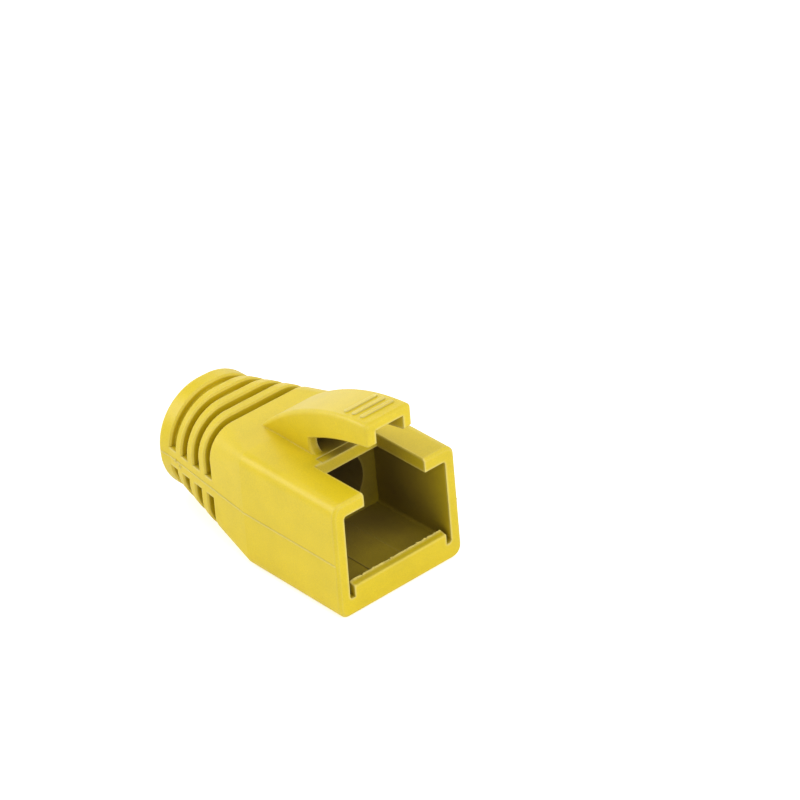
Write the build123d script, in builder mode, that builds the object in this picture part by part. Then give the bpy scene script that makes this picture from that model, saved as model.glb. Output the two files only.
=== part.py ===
from build123d import *
import math
import os

# Strain relief boot for a modular plug, moulded in one piece from soft plastic.
# X runs across, +Y from the mouth to the cable end and Z up, in millimetres.
# The origin lies under the middle of the boot, on the surface that it rests on.

# Box that slips over the plug
overall_length = 26.82
box_length = 12.8
box_width = 14.4
box_height = 11.84
box_draft = 0.13
box_corner = 1.1
mouth_edge = 0.25

# Pocket for the plug body
side_wall = 1.2
roof_wall = 1.35
floor_wall = 1.82
pocket_depth = 9.9
pocket_corner = 0.3

# Slot in the roof for the plug's latch
slot_width = 7.15
slot_length = 6.4
inner_edge = 0.12

# Lip across the mouth that snaps behind the plug
lip_width = 10.9
lip_front_height = 1.1
lip_back_height = 1.25
lip_depth = 0.73

# Low pad along the pocket floor
pad_width = 3.7
pad_height = 0.08

# Neck that bends with the cable
collar_length = 1.8
collar_width = 11.55
collar_height = 11.3
collar_flat = 0.5
collar_edge = 0.45
tube_width = 10.6
tube_height = 9.95
groove_count = 4
groove_width = 0.9
rib_width = 1.13
rib_edge = 0.17

# Parting line of the mould
parting_height = 5.78
web_height = 1.86
seam_width = 0.14
seam_height = 0.05

# Passage for the cable
bore_width = 9.0
bore_height = 7.7

# Guard over the latch
guard_tip_width = 5.3
guard_root_width = 4.72
guard_rise = 6.39
guard_length = 15.3
guard_bulge = 1.5
guard_plate = 0.85
guard_edge = 0.4
nose_height = 2.27
channel_width = 3.2
channel_length = 11.4

# Gap between the guard and the roof
gap_length = 8.35
gap_end_height = 1.5
gap_bow = 0.36
gap_recess = 0.1
gap_top_corner = 0.4
gap_floor_corner = 1.1
gap_edge = 0.15

# Grip ridges on the guard
ridge_count = 3
ridge_first = 1.58
ridge_pitch = 1.07
ridge_length = 3.7
ridge_width = 0.44
ridge_height = 0.13

# Places that follow from the sizes
mouth_y = -overall_length / 2
collar_start = overall_length - collar_length
collar_radius = (min(collar_width, collar_height) - collar_flat) / 2
collar_middle = collar_height / 2
groove_pitch = groove_width + rib_width
first_groove = collar_start - groove_count * groove_pitch + rib_width
tip_height = box_height + guard_rise
gap_floor = box_height - gap_recess
gap_recess_length = gap_length - gap_floor_corner
past = 1.0
hair = 0.01
side_view = Plane(origin=(0, mouth_y, 0), x_dir=(0, 1, 0), z_dir=(1, 0, 0))


def across(distance):
    """Plane across the boot at this distance behind the mouth, seen from the mouth."""
    return Plane.XZ.offset(-(mouth_y + distance))


def at_height(height):
    """Level plane at this height, with its origin under the middle of the mouth."""
    return Plane(origin=(0, mouth_y, height), x_dir=(1, 0, 0), z_dir=(0, 0, 1))


def box_outline(height_low, height_high, inset, corner):
    """Section of the box, or of its pocket, a little wider at the bottom than at the top."""
    half_low = box_width / 2 - inset - box_draft * (height_low / box_height - 0.5)
    half_high = box_width / 2 - inset - box_draft * (height_high / box_height - 0.5)
    Polygon(
        (-half_low, height_low), (half_low, height_low), (half_high, height_high), (-half_high, height_high),
        align=None,
    )
    fillet(vertices(), corner)


# Arc of the guard's back, in the side view
chord = math.hypot(guard_length, guard_rise)
arc_radius = chord ** 2 / (8 * guard_bulge) + guard_bulge / 2
arc_drop = arc_radius - guard_bulge
arc_y = guard_length / 2 - arc_drop * guard_rise / chord
arc_z = box_height + guard_rise / 2 - arc_drop * guard_length / chord


def under_back(distance, depth):
    """Point of the side view that lies this deep under the guard's back."""
    return (distance, arc_z + math.sqrt((arc_radius - depth) ** 2 - (distance - arc_y) ** 2))


# Guard over the latch, first as a solid lever
with BuildPart() as guard:
    with BuildSketch(side_view):
        with BuildLine():
            root = (guard_length, box_height)
            foot = box_height - roof_wall / 2
            back = ThreePointArc((0, tip_height), under_back(guard_length / 2, 0), root)
            Polyline(root, (guard_length, foot), (0, foot), back @ 0)
        make_face()
    extrude(amount=guard_tip_width, both=True)
    with BuildSketch(at_height(0)):
        with BuildLine():
            Polyline(
                (-guard_tip_width / 2, 0), (guard_tip_width / 2, 0), (guard_root_width / 2, guard_length),
                (-guard_root_width / 2, guard_length), close=True,
            )
        make_face()
    extrude(amount=tip_height + past, mode=Mode.INTERSECT)
    back_edges = faces().filter_by(GeomType.CYLINDER).edges().sort_by(Axis.Y)[:-1]
    nose_edges = faces().sort_by(Axis.Y)[0].edges().filter_by(Axis.Z)
    fillet(back_edges + nose_edges, guard_edge)

    # Gap below it
    with BuildSketch(side_view):
        with BuildLine():
            nose_foot = tip_height - nose_height
            under = SagittaArc((0, nose_foot), (gap_length, box_height + gap_end_height), gap_bow)
            Polyline(
                under @ 1, (gap_length, gap_floor), (-past, gap_floor), (-past, nose_foot), under @ 0,
            )
        make_face()
        gap_end = vertices().filter_by_position(Axis.X, gap_length - hair, gap_length + hair).sort_by(Axis.Y)
        fillet(gap_end[0], gap_floor_corner)
        fillet(gap_end[1], gap_top_corner)
    extrude(amount=guard_tip_width, both=True, mode=Mode.SUBTRACT)
    on_sides = [e for e in edges(Select.LAST) if e not in edges(Select.LAST).filter_by(Axis.X)]
    behind_nose = [e for e in on_sides if e.center().Y > mouth_y + guard_edge]
    chamfer([e for e in behind_nose if e.center().Z > gap_floor + hair], gap_edge)

    # Channel inside it
    with BuildSketch(side_view):
        with BuildLine():
            plate = ThreePointArc(
                under_back(-past, guard_plate), under_back(channel_length / 2, guard_plate),
                under_back(channel_length, guard_plate),
            )
            Polyline(plate @ 1, (channel_length, box_height), (-past, box_height), plate @ 0)
        make_face()
    extrude(amount=channel_width / 2, both=True, mode=Mode.SUBTRACT)

# Outer form of the neck and the end collar, before the grooves
with BuildPart() as neck:
    with BuildSketch(across(box_length)):
        box_outline(0, box_height, 0, box_corner)
    with BuildSketch(across(collar_start)) as collar_section:
        with Locations((0, collar_middle)):
            RectangleRounded(collar_width, collar_height, collar_radius)
    loft(ruled=True)
    extrude(collar_section.sketch, amount=-collar_length)


def neck_slice(start, end):
    """The stretch of the neck between two distances behind the mouth."""
    middle = mouth_y + (start + end) / 2
    return neck.part & Pos(0, middle, collar_middle) * Box(2 * box_width, end - start, 2 * box_height)


# Stretches that stand out between the grooves, with their edges broken
stretches = []
for index in range(groove_count + 1):
    start = first_groove + index * groove_pitch - rib_width if index else box_length
    end = first_groove + index * groove_pitch if index < groove_count else overall_length
    stretch = neck_slice(start, end)
    ends = [stretch.faces().sort_by(Axis.Y)[-1]]
    if index:
        ends.append(stretch.faces().sort_by(Axis.Y)[0])
    for face in ends:
        rim = [e for e in stretch.edges() if abs(e.center().Y - face.center().Y) < hair]
        if face.center().Y > -mouth_y - hair:
            stretch = fillet(rim, collar_edge)
        else:
            stretch = chamfer(rim, rib_edge)
    stretches.append(stretch)
web = neck_slice(first_groove - rib_width / 2, collar_start + rib_width / 2)
web &= Pos(0, 0, parting_height) * Box(2 * box_width, 2 * overall_length, web_height)

# Neck: the stretches on an oval tube, with the web along the parting line
tube_end = collar_start + collar_length / 2
tube_section = across(pocket_depth) * Pos(0, parting_height) * Ellipse(tube_width / 2, tube_height / 2)
ribbed_neck = extrude(tube_section, -(tube_end - pocket_depth)) + web + stretches

with BuildPart() as boot:
    add(ribbed_neck)

    # Box
    with BuildSketch(across(0)):
        box_outline(0, box_height, 0, box_corner)
    extrude(amount=-box_length)
    chamfer(faces().sort_by(Axis.Y)[0].edges(), mouth_edge)

    # Raised line where the halves of the mould met
    seam_box = box_width / 2 - box_draft * (parting_height / box_height - 0.5) + seam_height
    seam_collar = collar_width / 2 + seam_height
    with BuildSketch(at_height(parting_height - seam_width / 2)):
        with BuildLine():
            Polyline(
                (seam_box, mouth_edge), (seam_box, box_length), (seam_collar, collar_start),
                (seam_collar, overall_length - collar_edge), (-seam_collar, overall_length - collar_edge),
                (-seam_collar, collar_start), (-seam_box, box_length), (-seam_box, mouth_edge), close=True,
            )
        make_face()
    extrude(amount=seam_width)

    # Guard, over a shallow step in the roof
    with BuildSketch(at_height(box_height - gap_recess)):
        with Locations((0, (gap_recess_length - past) / 2)):
            Rectangle(guard_tip_width + 2 * gap_recess, gap_recess_length + past)
    extrude(amount=gap_recess + past, mode=Mode.SUBTRACT)
    add(guard.part)

    # Grip ridges
    for index in range(ridge_count):
        ridge_y, ridge_z = under_back(ridge_first + index * ridge_pitch, 0)
        outwards = (0, ridge_y - arc_y, ridge_z - arc_z)
        ridge_plane = Plane(origin=(0, mouth_y + ridge_y, ridge_z), x_dir=(1, 0, 0), z_dir=outwards)
        with BuildSketch(ridge_plane.offset(-ridge_height)):
            SlotOverall(ridge_length, ridge_width)
        extrude(amount=2 * ridge_height)

    # Pocket, with a low pad on its floor and a lip across the mouth
    with BuildSketch(across(-past)):
        box_outline(floor_wall, box_height - roof_wall, side_wall, pocket_corner)
    extrude(amount=-(pocket_depth + past), mode=Mode.SUBTRACT)
    with BuildSketch(side_view):
        with BuildLine():
            Polyline(
                (0, floor_wall / 2), (0, floor_wall + lip_front_height),
                (lip_depth, floor_wall + lip_back_height), (lip_depth, floor_wall / 2), close=True,
            )
        make_face()
    extrude(amount=lip_width / 2, both=True)
    with BuildSketch(at_height(floor_wall / 2)):
        with Locations((0, (lip_depth + pocket_depth) / 2)):
            Rectangle(pad_width, pocket_depth - lip_depth)
    extrude(amount=floor_wall / 2 + pad_height)

    # Slot for the latch
    with BuildSketch(at_height(box_height - roof_wall - past)):
        with Locations((0, (slot_length - past) / 2)):
            Rectangle(slot_width, slot_length + past)
    extrude(amount=roof_wall + 2 * past, mode=Mode.SUBTRACT)

    # Passage for the cable
    with BuildSketch(across(pocket_depth - past)):
        with Locations((0, parting_height)):
            Ellipse(bore_width / 2, bore_height / 2)
    extrude(amount=-(overall_length - pocket_depth + 2 * past), mode=Mode.SUBTRACT)

    # Soft edges of the slot and the lip
    roof_edges = edges().filter_by(Axis.Y).filter_by_position(Axis.Z, box_height - hair, box_height + hair)
    slot_sides = [e for e in roof_edges if abs(abs(e.center().X) - slot_width / 2) < hair]
    lip_top = floor_wall + lip_front_height
    lip_front = edges().filter_by(Axis.X).filter_by_position(Axis.Z, lip_top - hair, lip_top + hair)
    fillet(slot_sides + lip_front, inner_edge)

boot.part.label = "boot"
os.makedirs("parts", exist_ok=True)
export_step(boot.part, "parts/boot.step")
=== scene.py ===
# %% [markdown]
# # Strain relief boot for a data plug
# One soft plastic moulding: a box that slips over the plug, a grooved neck for the cable and an
# arched guard over the latch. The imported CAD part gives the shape. This script adds its material,
# the traces of the mould that are too fine for the part, the light and the camera.

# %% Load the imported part
import bmesh
import bpy
import math
from mathutils import Matrix, Vector


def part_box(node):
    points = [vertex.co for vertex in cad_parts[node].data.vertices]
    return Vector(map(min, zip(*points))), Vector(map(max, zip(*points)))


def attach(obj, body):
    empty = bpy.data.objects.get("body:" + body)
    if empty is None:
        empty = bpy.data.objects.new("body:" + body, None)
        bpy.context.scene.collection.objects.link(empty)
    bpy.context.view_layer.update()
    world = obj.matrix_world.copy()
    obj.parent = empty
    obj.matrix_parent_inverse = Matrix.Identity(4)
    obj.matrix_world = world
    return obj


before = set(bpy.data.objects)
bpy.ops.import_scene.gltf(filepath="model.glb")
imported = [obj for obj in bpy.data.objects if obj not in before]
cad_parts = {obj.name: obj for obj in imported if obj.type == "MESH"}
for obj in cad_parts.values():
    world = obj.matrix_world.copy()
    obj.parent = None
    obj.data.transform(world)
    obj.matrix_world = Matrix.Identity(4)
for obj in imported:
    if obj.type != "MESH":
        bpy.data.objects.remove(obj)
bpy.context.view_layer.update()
low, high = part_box("boot")
MM = 0.001
print("boot, mm:", [round(v / MM, 2) for v in high - low])

# %% [markdown]
# ## Colours
# A colour card or an image editor gives a colour as sRGB hex, while Blender's sockets want linear
# values. They could be worked out by hand, but one function keeps the hex readable in the script.


# %% One function for colours
def linear(code):
    """Linear RGBA of an sRGB hex colour, by the curve of the sRGB standard."""
    parts = [int(code[i:i + 2], 16) / 255 for i in (1, 3, 5)]
    return [c / 12.92 if c <= 0.04045 else ((c + 0.055) / 1.055) ** 2.4 for c in parts] + [1.0]


WHITE = linear("#FFFFFF")
print("white, linear:", WHITE)

# %% [markdown]
# ## Nodes
# Materials, the world and Geometry Nodes are all trees of nodes. A node written out in full takes
# a line for each setting and link, so one function adds any kind of node with all of them.


# %% One function for nodes
def add_node(tree, kind, inputs=(), **settings):
    """A new node with its settings. Each input is a constant, or a socket to link from."""
    node = tree.nodes.new(kind)
    for name, value in settings.items():
        setattr(node, name, value)
    for name, value in dict(inputs).items():
        if isinstance(value, bpy.types.NodeSocket):
            tree.links.new(value, node.inputs[name])
        else:
            node.inputs[name].default_value = value
    return node


def new_material(name):
    """A material with an empty tree of nodes, and that tree."""
    material = bpy.data.materials.new(name)
    material.use_nodes = True
    material.node_tree.nodes.clear()
    return material, material.node_tree


print("helpers:", [helper.__name__ for helper in (linear, add_node, new_material)])

# %% [markdown]
# ## Soft PVC
# The boot is moulded in flexible PVC that is coloured through. To the eye it is a strong yellow
# with a satin sheen, softly rounded edges and a little light inside it. An image could give its
# grain, but noise on Object coordinates has no seams and keeps its size in millimetres. The real
# grain is a little finer than it is drawn here, where it is made just coarse enough to show.

# %% Sizes and colours of the plastic
GRAIN = 0.12 * MM
GRAIN_HEIGHT = 0.02 * MM
GRAIN_STRENGTH = 0.5
CLOUD = 2.5 * MM
EDGE_ROUND = 0.18 * MM
EDGE_SAMPLES = 4
# The yellow in the open, painted shade deep in the pocket and a painted pale highlight on thin
# edges.
YELLOW, POCKET_SHADE, EDGE_HIGHLIGHT = "#E1C715", "#66531D", "#F4E594"
print("grain and clouds, mm:", round(GRAIN / MM, 2), round(CLOUD / MM, 2))

# %% [markdown]
# ## Grain and clouds
# No moulding is one flat colour. The grain breaks the light up finely, and the pigment never mixes
# quite evenly, so the colour wanders by a few percent over some millimetres. One noise for each
# gives this. The middle of a noise is spread over a narrow range of brightness around 1.

# %% Uneven brightness
CLOUD_DETAIL, GRAIN_DETAIL = 3.0, 2.0
NOISE_MIDDLE = {"From Min": 0.3, "From Max": 0.7}
CLOUD_BRIGHTNESS = {"To Min": 0.96, "To Max": 1.03}
GRAIN_BRIGHTNESS = {"To Min": 0.94, "To Max": 1.05}


def uneven(tree):
    """Sockets of the brightness of the plastic and of the height of its grain."""
    place = add_node(tree, "ShaderNodeTexCoord").outputs["Object"]
    cloud = add_node(tree, "ShaderNodeTexNoise", {
        "Vector": place, "Scale": 1 / CLOUD, "Detail": CLOUD_DETAIL})
    grain = add_node(tree, "ShaderNodeTexNoise", {
        "Vector": place, "Scale": 1 / GRAIN, "Detail": GRAIN_DETAIL})
    tone = add_node(tree, "ShaderNodeMapRange", {
        "Value": cloud.outputs["Fac"], **NOISE_MIDDLE, **CLOUD_BRIGHTNESS})
    speck = add_node(tree, "ShaderNodeMapRange", {
        "Value": grain.outputs["Fac"], **NOISE_MIDDLE, **GRAIN_BRIGHTNESS})
    mottle = add_node(tree, "ShaderNodeMath", {
        0: tone.outputs[0], 1: speck.outputs[0]}, operation="MULTIPLY")
    return mottle.outputs[0], grain.outputs["Fac"]


print("clouds and grain differ by:", CLOUD_BRIGHTNESS, GRAIN_BRIGHTNESS)

# %% [markdown]
# ## Depth
# Little light finds its way into the pocket and out again, so its walls look brown, and the
# grooves of the neck are a little darker than its ribs. The renderer gives part of this. The rest
# is painted shade: ambient occlusion, which measures how open a place is, mixes a dark brown into
# the colour deep in the pocket and darkens the colour in the grooves. One node looks 25 mm far and
# one 2.4 mm. The far one divided by the near one is low only deep in the pocket and stays high in
# a shallow groove, so it finds the pocket. The near one alone finds the grooves.

# %% How open a place is
FAR = 25 * MM
NEAR = 2.4 * MM
OPENNESS_SAMPLES = 8
POCKET_TO_OPEN = {"From Min": 0.05, "From Max": 0.72}
POCKET_FADE = 1.3
GROOVE_SHADE = {"From Min": 0.25, "From Max": 0.75, "To Min": 0.72, "To Max": 1.0}


def openness(tree):
    """Sockets of how far a place is out of the pocket, 0 to 1, and of the shade of a groove."""
    far = add_node(tree, "ShaderNodeAmbientOcclusion", {"Distance": FAR},
                   samples=OPENNESS_SAMPLES, only_local=True)
    near = add_node(tree, "ShaderNodeAmbientOcclusion", {"Distance": NEAR},
                    samples=OPENNESS_SAMPLES, only_local=True)
    share = add_node(tree, "ShaderNodeMath", {
        0: far.outputs["AO"], 1: near.outputs["AO"]}, operation="DIVIDE")
    reach = add_node(tree, "ShaderNodeMapRange", {"Value": share.outputs[0], **POCKET_TO_OPEN})
    opened = add_node(tree, "ShaderNodeMath", {
        0: reach.outputs[0], 1: POCKET_FADE}, operation="POWER")
    groove = add_node(tree, "ShaderNodeMapRange", {"Value": near.outputs["AO"], **GROOVE_SHADE})
    return opened.outputs[0], groove.outputs[0]


print("openness looks, mm:", round(FAR / MM, 2), round(NEAR / MM, 2))

# %% [markdown]
# ## Thin edges
# Soft PVC lets some light through and its edges catch a whitish sheen, so an edge in the open
# looks paler than a wall. More light inside the material could do this, but it also washes out the
# yellow of the walls. So the paleness is a painted highlight: a third occlusion node looks 0.3 mm
# inwards and finds the edges, which get a pale yellow in their colour.

# %% How thin a place is
THIN = 0.3 * MM
THIN_TO_PALE = {"From Min": 0.95, "From Max": 0.5, "To Max": 0.6}


def thinness(tree, opened):
    """Socket of the share of the painted pale highlight: none on a wall, and none in the dark."""
    inner = add_node(tree, "ShaderNodeAmbientOcclusion", {"Distance": THIN},
                     samples=OPENNESS_SAMPLES, only_local=True, inside=True)
    thin = add_node(tree, "ShaderNodeMapRange", {"Value": inner.outputs["AO"], **THIN_TO_PALE})
    lit = add_node(tree, "ShaderNodeMath", {0: thin.outputs[0], 1: opened}, operation="MULTIPLY")
    return lit.outputs[0]


print("an edge is pale within, mm:", round(THIN / MM, 2))

# %% [markdown]
# ## The plastic put together
# The yellow, the painted pocket shade and the painted edge highlight are mixed by depth and
# thinness, and then made lighter or darker by the clouds, the grain and the painted shade of the
# grooves. Soft PVC has an index of refraction of about 1.53 and, fresh from a satin mould, a
# roughness of about 0.4. In the pocket the roughness rises, because a sheen looked grey there, and
# the specular level is matched to the real highlights. The Bevel node rounds the narrow chamfers
# for the light alone, which costs no faces, and a faint bump carries the grain.

# %% Material of the boot
REFRACTION = 1.53
SPECULAR_LEVEL = 0.4
ROUGH_OPEN, ROUGH_DEEP = 0.4, 0.85
LIGHT_INSIDE = {"Subsurface Weight": 0.06, "Subsurface Radius": (1.0, 0.6, 0.1),
                "Subsurface Scale": 0.4 * MM}


def soft_pvc(name, light, deep, pale):
    """Flexible PVC: yellow, with painted shade in the pocket and a painted highlight on thin edges.
    """
    material, tree = new_material(name)
    brightness, grain = uneven(tree)
    opened, groove = openness(tree)
    # Painted shade: deep in the pocket the yellow turns to a dark brown, where the light falls off.
    body = add_node(tree, "ShaderNodeMix", {
        "Factor": opened, 6: linear(deep), 7: linear(light)}, data_type="RGBA")
    # Painted highlight: thin edges in the open get a pale yellow.
    edged = add_node(tree, "ShaderNodeMix", {
        "Factor": thinness(tree, opened), 6: body.outputs[2], 7: linear(pale)}, data_type="RGBA")
    # Painted shade: the grooves darken the colour, together with the clouds and the grain.
    shade = add_node(tree, "ShaderNodeMath", {0: brightness, 1: groove}, operation="MULTIPLY")
    shaded = add_node(tree, "ShaderNodeVectorMath", {
        0: edged.outputs[2], "Scale": shade.outputs[0]}, operation="SCALE")
    rough = add_node(tree, "ShaderNodeMapRange", {
        "Value": opened, "To Min": ROUGH_DEEP, "To Max": ROUGH_OPEN})
    soft_edge = add_node(tree, "ShaderNodeBevel", {"Radius": EDGE_ROUND}, samples=EDGE_SAMPLES)
    bump = add_node(tree, "ShaderNodeBump", {
        "Strength": GRAIN_STRENGTH, "Distance": GRAIN_HEIGHT, "Height": grain,
        "Normal": soft_edge.outputs["Normal"]})
    skin = add_node(tree, "ShaderNodeBsdfPrincipled", {
        "Base Color": shaded.outputs[0], "Roughness": rough.outputs[0], "IOR": REFRACTION,
        "Specular IOR Level": SPECULAR_LEVEL, "Normal": bump.outputs["Normal"], **LIGHT_INSIDE})
    add_node(tree, "ShaderNodeOutputMaterial", {"Surface": skin.outputs["BSDF"]})
    return material


pvc = soft_pvc("soft_pvc", YELLOW, POCKET_SHADE, EDGE_HIGHLIGHT)
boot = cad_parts["boot"]
for item in boot.material_slots:
    item.material = pvc
print("boot:", len(boot.data.polygons), "faces,", len(boot.material_slots), "slot")

# %% [markdown]
# ## Flash on the lip
# The halves of the mould met at the top of the lip, and some plastic crept between them. On the
# real boot it stands up as a low, torn edge of crumbs. They could be modelled one by one, but they
# repeat along a straight line with uneven sizes, so Geometry Nodes place them. Each gets a random
# shift, stretch and turn, with fixed seeds, so that every run gives the same edge.

# %% Crumbs along a line
CRUMB_DETAIL = 2
# Each is the least, the most and the seed. Shifts are in crumb sizes and turns in radians.
SHIFT = (-0.8, -0.25, -0.15), (0.8, 0.25, 0.35), 3
STRETCH = (0.7, 0.5, 0.3), (2.2, 1.0, 1.1), 5
TURN = (-0.3, -0.3, -0.3), (0.3, 0.3, 0.3), 8


def line_inputs(tree):
    """The named inputs and the output of the group of nodes. Returns the sockets inside."""
    tree.interface.new_socket("Geometry", in_out="OUTPUT", socket_type="NodeSocketGeometry")
    for title in ("Length", "Spacing", "Size"):
        tree.interface.new_socket(title, in_out="INPUT", socket_type="NodeSocketFloat")
    tree.interface.new_socket("Material", in_out="INPUT", socket_type="NodeSocketMaterial")
    return add_node(tree, "NodeGroupInput").outputs


def crumb_tree():
    """Node group: crumbs of uneven size along a line in X, centred on the origin."""
    tree = bpy.data.node_groups.new("crumbs_on_a_line", "GeometryNodeTree")
    given = line_inputs(tree)
    shift, stretch, turn = (
        add_node(tree, "FunctionNodeRandomValue", {0: least, 1: most, "Seed": seed},
                 data_type="FLOAT_VECTOR").outputs[0]
        for least, most, seed in (SHIFT, STRETCH, TURN))
    half = add_node(tree, "ShaderNodeMath", {0: given["Length"], 1: 0.5}, operation="MULTIPLY")
    back = add_node(tree, "ShaderNodeMath", {0: half.outputs[0], 1: -1.0}, operation="MULTIPLY")
    start = add_node(tree, "ShaderNodeCombineXYZ", {"X": back.outputs[0]})
    end = add_node(tree, "ShaderNodeCombineXYZ", {"X": half.outputs[0]})
    line = add_node(tree, "GeometryNodeCurvePrimitiveLine", {
        "Start": start.outputs[0], "End": end.outputs[0]})
    points = add_node(tree, "GeometryNodeCurveToPoints", {
        "Curve": line.outputs[0], "Length": given["Spacing"]}, mode="LENGTH")
    offset = add_node(tree, "ShaderNodeVectorMath", {
        0: shift, "Scale": given["Size"]}, operation="SCALE")
    placed = add_node(tree, "GeometryNodeSetPosition", {
        "Geometry": points.outputs["Points"], "Offset": offset.outputs[0]})
    crumb = add_node(tree, "GeometryNodeMeshIcoSphere", {
        "Radius": given["Size"], "Subdivisions": CRUMB_DETAIL})
    crumbs = add_node(tree, "GeometryNodeInstanceOnPoints", {
        "Points": placed.outputs[0], "Instance": crumb.outputs["Mesh"],
        "Rotation": turn, "Scale": stretch})
    real = add_node(tree, "GeometryNodeRealizeInstances", {"Geometry": crumbs.outputs[0]})
    finished = add_node(tree, "GeometryNodeSetMaterial", {
        "Geometry": real.outputs[0], "Material": given["Material"]})
    add_node(tree, "NodeGroupOutput", {0: finished.outputs[0]})
    return tree


crumbs_on_a_line = crumb_tree()
print("nodes of the crumbs:", len(crumbs_on_a_line.nodes))

# %% [markdown]
# ## From nodes to a plain mesh
# The other tools want a plain mesh, so an empty carrier object runs the nodes once, and the result
# is kept as a mesh. Its place goes into its points, because the piece's own origin stays at zero.


# %% The flash itself
def socket_id(tree, name):
    """Identifier of a named input of a node group."""
    return next(item.identifier for item in tree.interface.items_tree
                if item.name == name and item.in_out == "INPUT")


def row_of_crumbs(name, tree, centre, length, spacing, size):
    """A plain mesh of crumbs along X, placed in its own points and riding on the boot."""
    carrier = bpy.data.objects.new(name + "_line", bpy.data.meshes.new(name + "_line"))
    bpy.context.scene.collection.objects.link(carrier)
    nodes = carrier.modifiers.new("crumbs", "NODES")
    nodes.node_group = tree
    given = {"Length": length, "Spacing": spacing, "Size": size, "Material": pvc}
    for title, value in given.items():
        nodes[socket_id(tree, title)] = value
    bpy.context.view_layer.update()
    evaluated = carrier.evaluated_get(bpy.context.evaluated_depsgraph_get())
    mesh = bpy.data.meshes.new_from_object(evaluated)
    bpy.data.objects.remove(carrier)
    mesh.transform(Matrix.Translation(centre))
    piece = bpy.data.objects.new(name, mesh)
    bpy.context.scene.collection.objects.link(piece)
    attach(piece, "root")
    return piece


MOUTH = low.y
LIP_BEHIND = 0.73 * MM
LIP_HEIGHT = 3.07 * MM
LIP_TOP = Vector((0, MOUTH + LIP_BEHIND, LIP_HEIGHT))
LIP_LENGTH = 10.6 * MM
CRUMB_SPACING = 0.14 * MM
CRUMB_SIZE = 0.1 * MM
lip_flash = row_of_crumbs(
    "lip_flash", crumbs_on_a_line, LIP_TOP, LIP_LENGTH, CRUMB_SPACING, CRUMB_SIZE)
print("crumbs on the lip:", len(lip_flash.data.polygons), "faces")

# %% [markdown]
# ## Gate mark
# The plastic entered the mould on the left of the neck, next to the collar. Where the sprue tore
# off, two tiny craters with raised rims are left. A bump could fake them, but a rim of real faces
# also stands up where it is seen from the side. It is a thin closed ring of uneven thickness.

# %% A rim
RIM_RADIUS = 0.15 * MM
RIM_THICK = 0.055 * MM
LUMPS, LUMP_SHARE, LUMP_START = 3, 0.3, 1
STEPS_AROUND, STEPS_ACROSS = 24, 10


def add_rim(mesh, spot, normal):
    """An uneven ring, laid flat on the surface at a spot."""
    facing = Matrix.Translation(spot) @ normal.to_track_quat("Z", "Y").to_matrix().to_4x4()
    loops = []
    for i in range(STEPS_AROUND):
        around = 2 * math.pi * i / STEPS_AROUND
        swell = RIM_THICK * (1 + LUMP_SHARE * math.sin(LUMPS * around + LUMP_START))
        loop = []
        for j in range(STEPS_ACROSS):
            roll = 2 * math.pi * j / STEPS_ACROSS
            r = RIM_RADIUS + swell * math.cos(roll)
            point = Vector((r * math.cos(around), r * math.sin(around), swell * math.sin(roll)))
            loop.append(mesh.verts.new(facing @ point))
        loops.append(loop)
    for i, one in enumerate(loops):
        two = loops[(i + 1) % STEPS_AROUND]
        for j in range(STEPS_ACROSS):
            k = (j + 1) % STEPS_ACROSS
            mesh.faces.new((one[j], two[j], two[k], one[k]))


print("rim, mm across:", round(2 * RIM_RADIUS / MM, 2), "and thick:", round(2 * RIM_THICK / MM, 2))

# %% [markdown]
# ## Rims on the neck
# Each rim has a distance behind the mouth and a height. A ray from the left against the boot finds
# the surface there and its slope, so the rims lie flat on the neck with no fitting by hand.

# %% The gate mark itself
GATES = [(24.03 * MM, 5.78 * MM), (23.42 * MM, 5.42 * MM)]
TO_THE_RIGHT = Vector((1, 0, 0))
gate = bmesh.new()
for behind, height in GATES:
    beside = Vector((2 * low.x, MOUTH + behind, height))
    spot, normal = boot.ray_cast(beside, TO_THE_RIGHT)[1:3]
    add_rim(gate, spot, normal)
    print("gate rim at, mm:", [round(v / MM, 2) for v in spot])
bmesh.ops.recalc_face_normals(gate, faces=gate.faces)
gate_mesh = bpy.data.meshes.new("gate_mark")
gate.to_mesh(gate_mesh)
gate.free()
gate_mesh.materials.append(pvc)
gate_mark = bpy.data.objects.new("gate_mark", gate_mesh)
bpy.context.scene.collection.objects.link(gate_mark)
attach(gate_mark, "root")

# %% [markdown]
# ## Floor
# The boot lies on white paper, a plain diffuse surface that takes its soft shadow. In the photo
# studio, such paper is lit until it is white. Here the camera's rays alone see a little glow
# added to it, which makes it white with a faint shadow and throws no more light at the boot.

# %% White paper
PAPER_HALF = 0.6
PAPER_GLOW = 0.5
GAP = 0.02 * MM
corners = [(-PAPER_HALF, -PAPER_HALF, 0), (PAPER_HALF, -PAPER_HALF, 0),
           (PAPER_HALF, PAPER_HALF, 0), (-PAPER_HALF, PAPER_HALF, 0)]
floor_mesh = bpy.data.meshes.new("floor")
floor_mesh.from_pydata(corners, [], [(0, 1, 2, 3)])
floor = bpy.data.objects.new("floor", floor_mesh)
floor.location.z = low.z - GAP
bpy.context.scene.collection.objects.link(floor)
paper, tree = new_material("paper")
plain = add_node(tree, "ShaderNodeBsdfDiffuse", {"Color": WHITE})
ray = add_node(tree, "ShaderNodeLightPath").outputs
seen = add_node(tree, "ShaderNodeMath", {
    0: ray["Is Camera Ray"], 1: PAPER_GLOW}, operation="MULTIPLY")
glow = add_node(tree, "ShaderNodeEmission", {"Color": WHITE, "Strength": seen.outputs[0]})
sheet = add_node(tree, "ShaderNodeAddShader", {0: plain.outputs[0], 1: glow.outputs[0]})
add_node(tree, "ShaderNodeOutputMaterial", {"Surface": sheet.outputs[0]})
floor_mesh.materials.append(paper)
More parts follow.
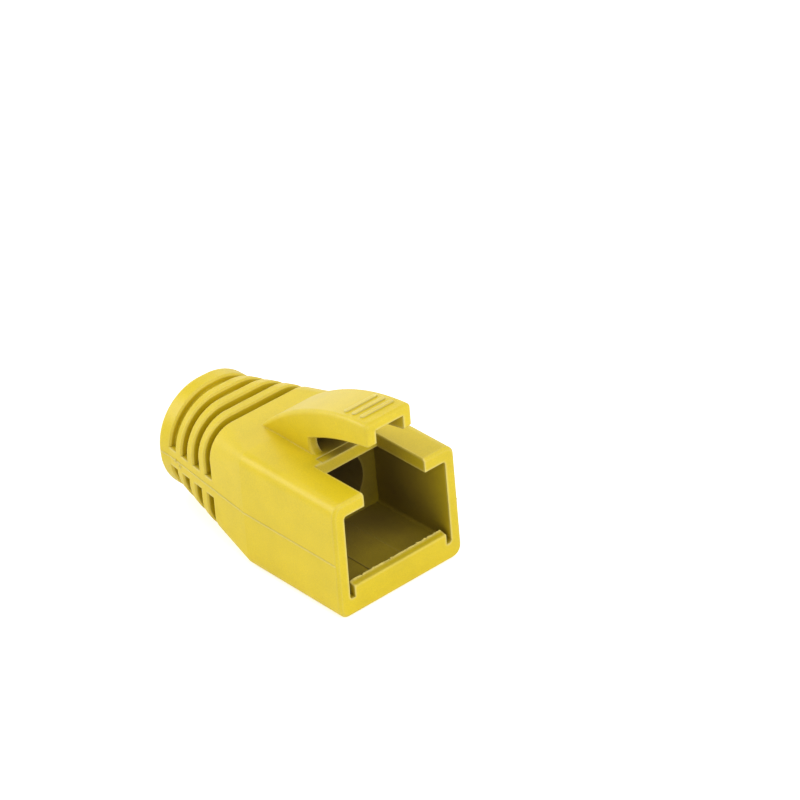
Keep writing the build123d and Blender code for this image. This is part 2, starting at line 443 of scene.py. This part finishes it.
print("paper, m across:", 2 * PAPER_HALF)

# %% [markdown]
# ## Surroundings
# A white tent around the boot gives even light from all sides. As a world it is a little dimmer
# than white, so that the yellow keeps its colour. Rays from the camera, and the glossy and
# transmission rays that show the world in a surface, see it plain white instead.

# %% The world
TENT = 0.65
world = bpy.data.worlds.new("studio")
world.use_nodes = True
bpy.context.scene.world = world
tree = world.node_tree
tree.nodes.clear()
tent = add_node(tree, "ShaderNodeBackground", {"Color": WHITE, "Strength": TENT})
plain = add_node(tree, "ShaderNodeBackground", {"Color": WHITE, "Strength": 1.0})
ray = add_node(tree, "ShaderNodeLightPath").outputs
seen = add_node(tree, "ShaderNodeMath", {
    0: ray["Is Camera Ray"], 1: ray["Is Glossy Ray"]}, operation="MAXIMUM")
shown = add_node(tree, "ShaderNodeMath", {
    0: seen.outputs[0], 1: ray["Is Transmission Ray"]}, operation="MAXIMUM")
choice = add_node(tree, "ShaderNodeMixShader", {
    "Fac": shown.outputs[0], 1: tent.outputs[0], 2: plain.outputs[0]})
add_node(tree, "ShaderNodeOutputWorld", {"Surface": choice.outputs[0]})
print("light from the surroundings:", TENT)

# %% [markdown]
# ## Lights
# Three square lights stand round the boot, all turned to it. The one behind on the left draws the
# pale lines on the ribs and the guard, together with the painted edge highlight of the plastic. The
# one in front lights the mouth and the lip. A weak low one behind on the right keeps the far edges
# from going flat. They are large for their distance, so that their shadows are soft.


# %% Three soft lights
def soft_light(name, azimuth, elevation, size, strength, distance=0.5):
    """A square light that faces the boot: 0 is before the mouth, 90 on the right, 180 behind."""
    a, e = math.radians(azimuth), math.radians(elevation)
    away = Vector((math.sin(a) * math.cos(e), -math.cos(a) * math.cos(e), math.sin(e)))
    data = bpy.data.lights.new(name, "AREA")
    data.size = size
    data.energy = strength
    lamp = bpy.data.objects.new(name, data)
    lamp.location = away * distance
    lamp.rotation_mode = "QUATERNION"
    lamp.rotation_quaternion = away.to_track_quat("Z", "Y")
    bpy.context.scene.collection.objects.link(lamp)


soft_light("back_left", azimuth=-145, elevation=31, size=0.26, strength=0.9)
soft_light("front", azimuth=8, elevation=42, size=0.38, strength=1.0)
soft_light("back_low", azimuth=150, elevation=10, size=0.28, strength=0.2)

# %% [markdown]
# ## Camera
# The camera is 35 cm away on the left of the mouth and looks down at 32 degrees, through a long
# lens, so parallel edges stay nearly parallel. Its place and turn were fitted to the edges of the
# boot in the photograph. The fit gives the lens in pixels, and the width of the sensor turns that
# into millimetres. The turn is given as the directions that are right, down and ahead in the view.

# %% The camera
FOCAL_PX = 3829.5
IMAGE_PX = 800
SENSOR = 36
NEAREST, FARTHEST = 0.01, 10
RIGHT = Vector((0.743265, -0.665426, -0.069033))
DOWN = Vector((-0.398608, -0.357623, -0.844522))
AHEAD = Vector((0.537279, 0.655221, -0.531052))
PLACE = Vector((-176.797, -230.725, 195.229)) * MM
camera_data = bpy.data.cameras.new("camera")
camera_data.sensor_width = SENSOR
camera_data.lens = FOCAL_PX / IMAGE_PX * SENSOR
camera_data.clip_start, camera_data.clip_end = NEAREST, FARTHEST
camera = bpy.data.objects.new("camera", camera_data)
turn = Matrix((RIGHT, -DOWN, -AHEAD)).transposed()
camera.matrix_world = Matrix.Translation(PLACE) @ turn.to_4x4()
bpy.context.scene.collection.objects.link(camera)
bpy.context.scene.camera = camera
bpy.context.scene.view_settings.view_transform = "Standard"
print("lens, mm:", round(camera_data.lens, 1))
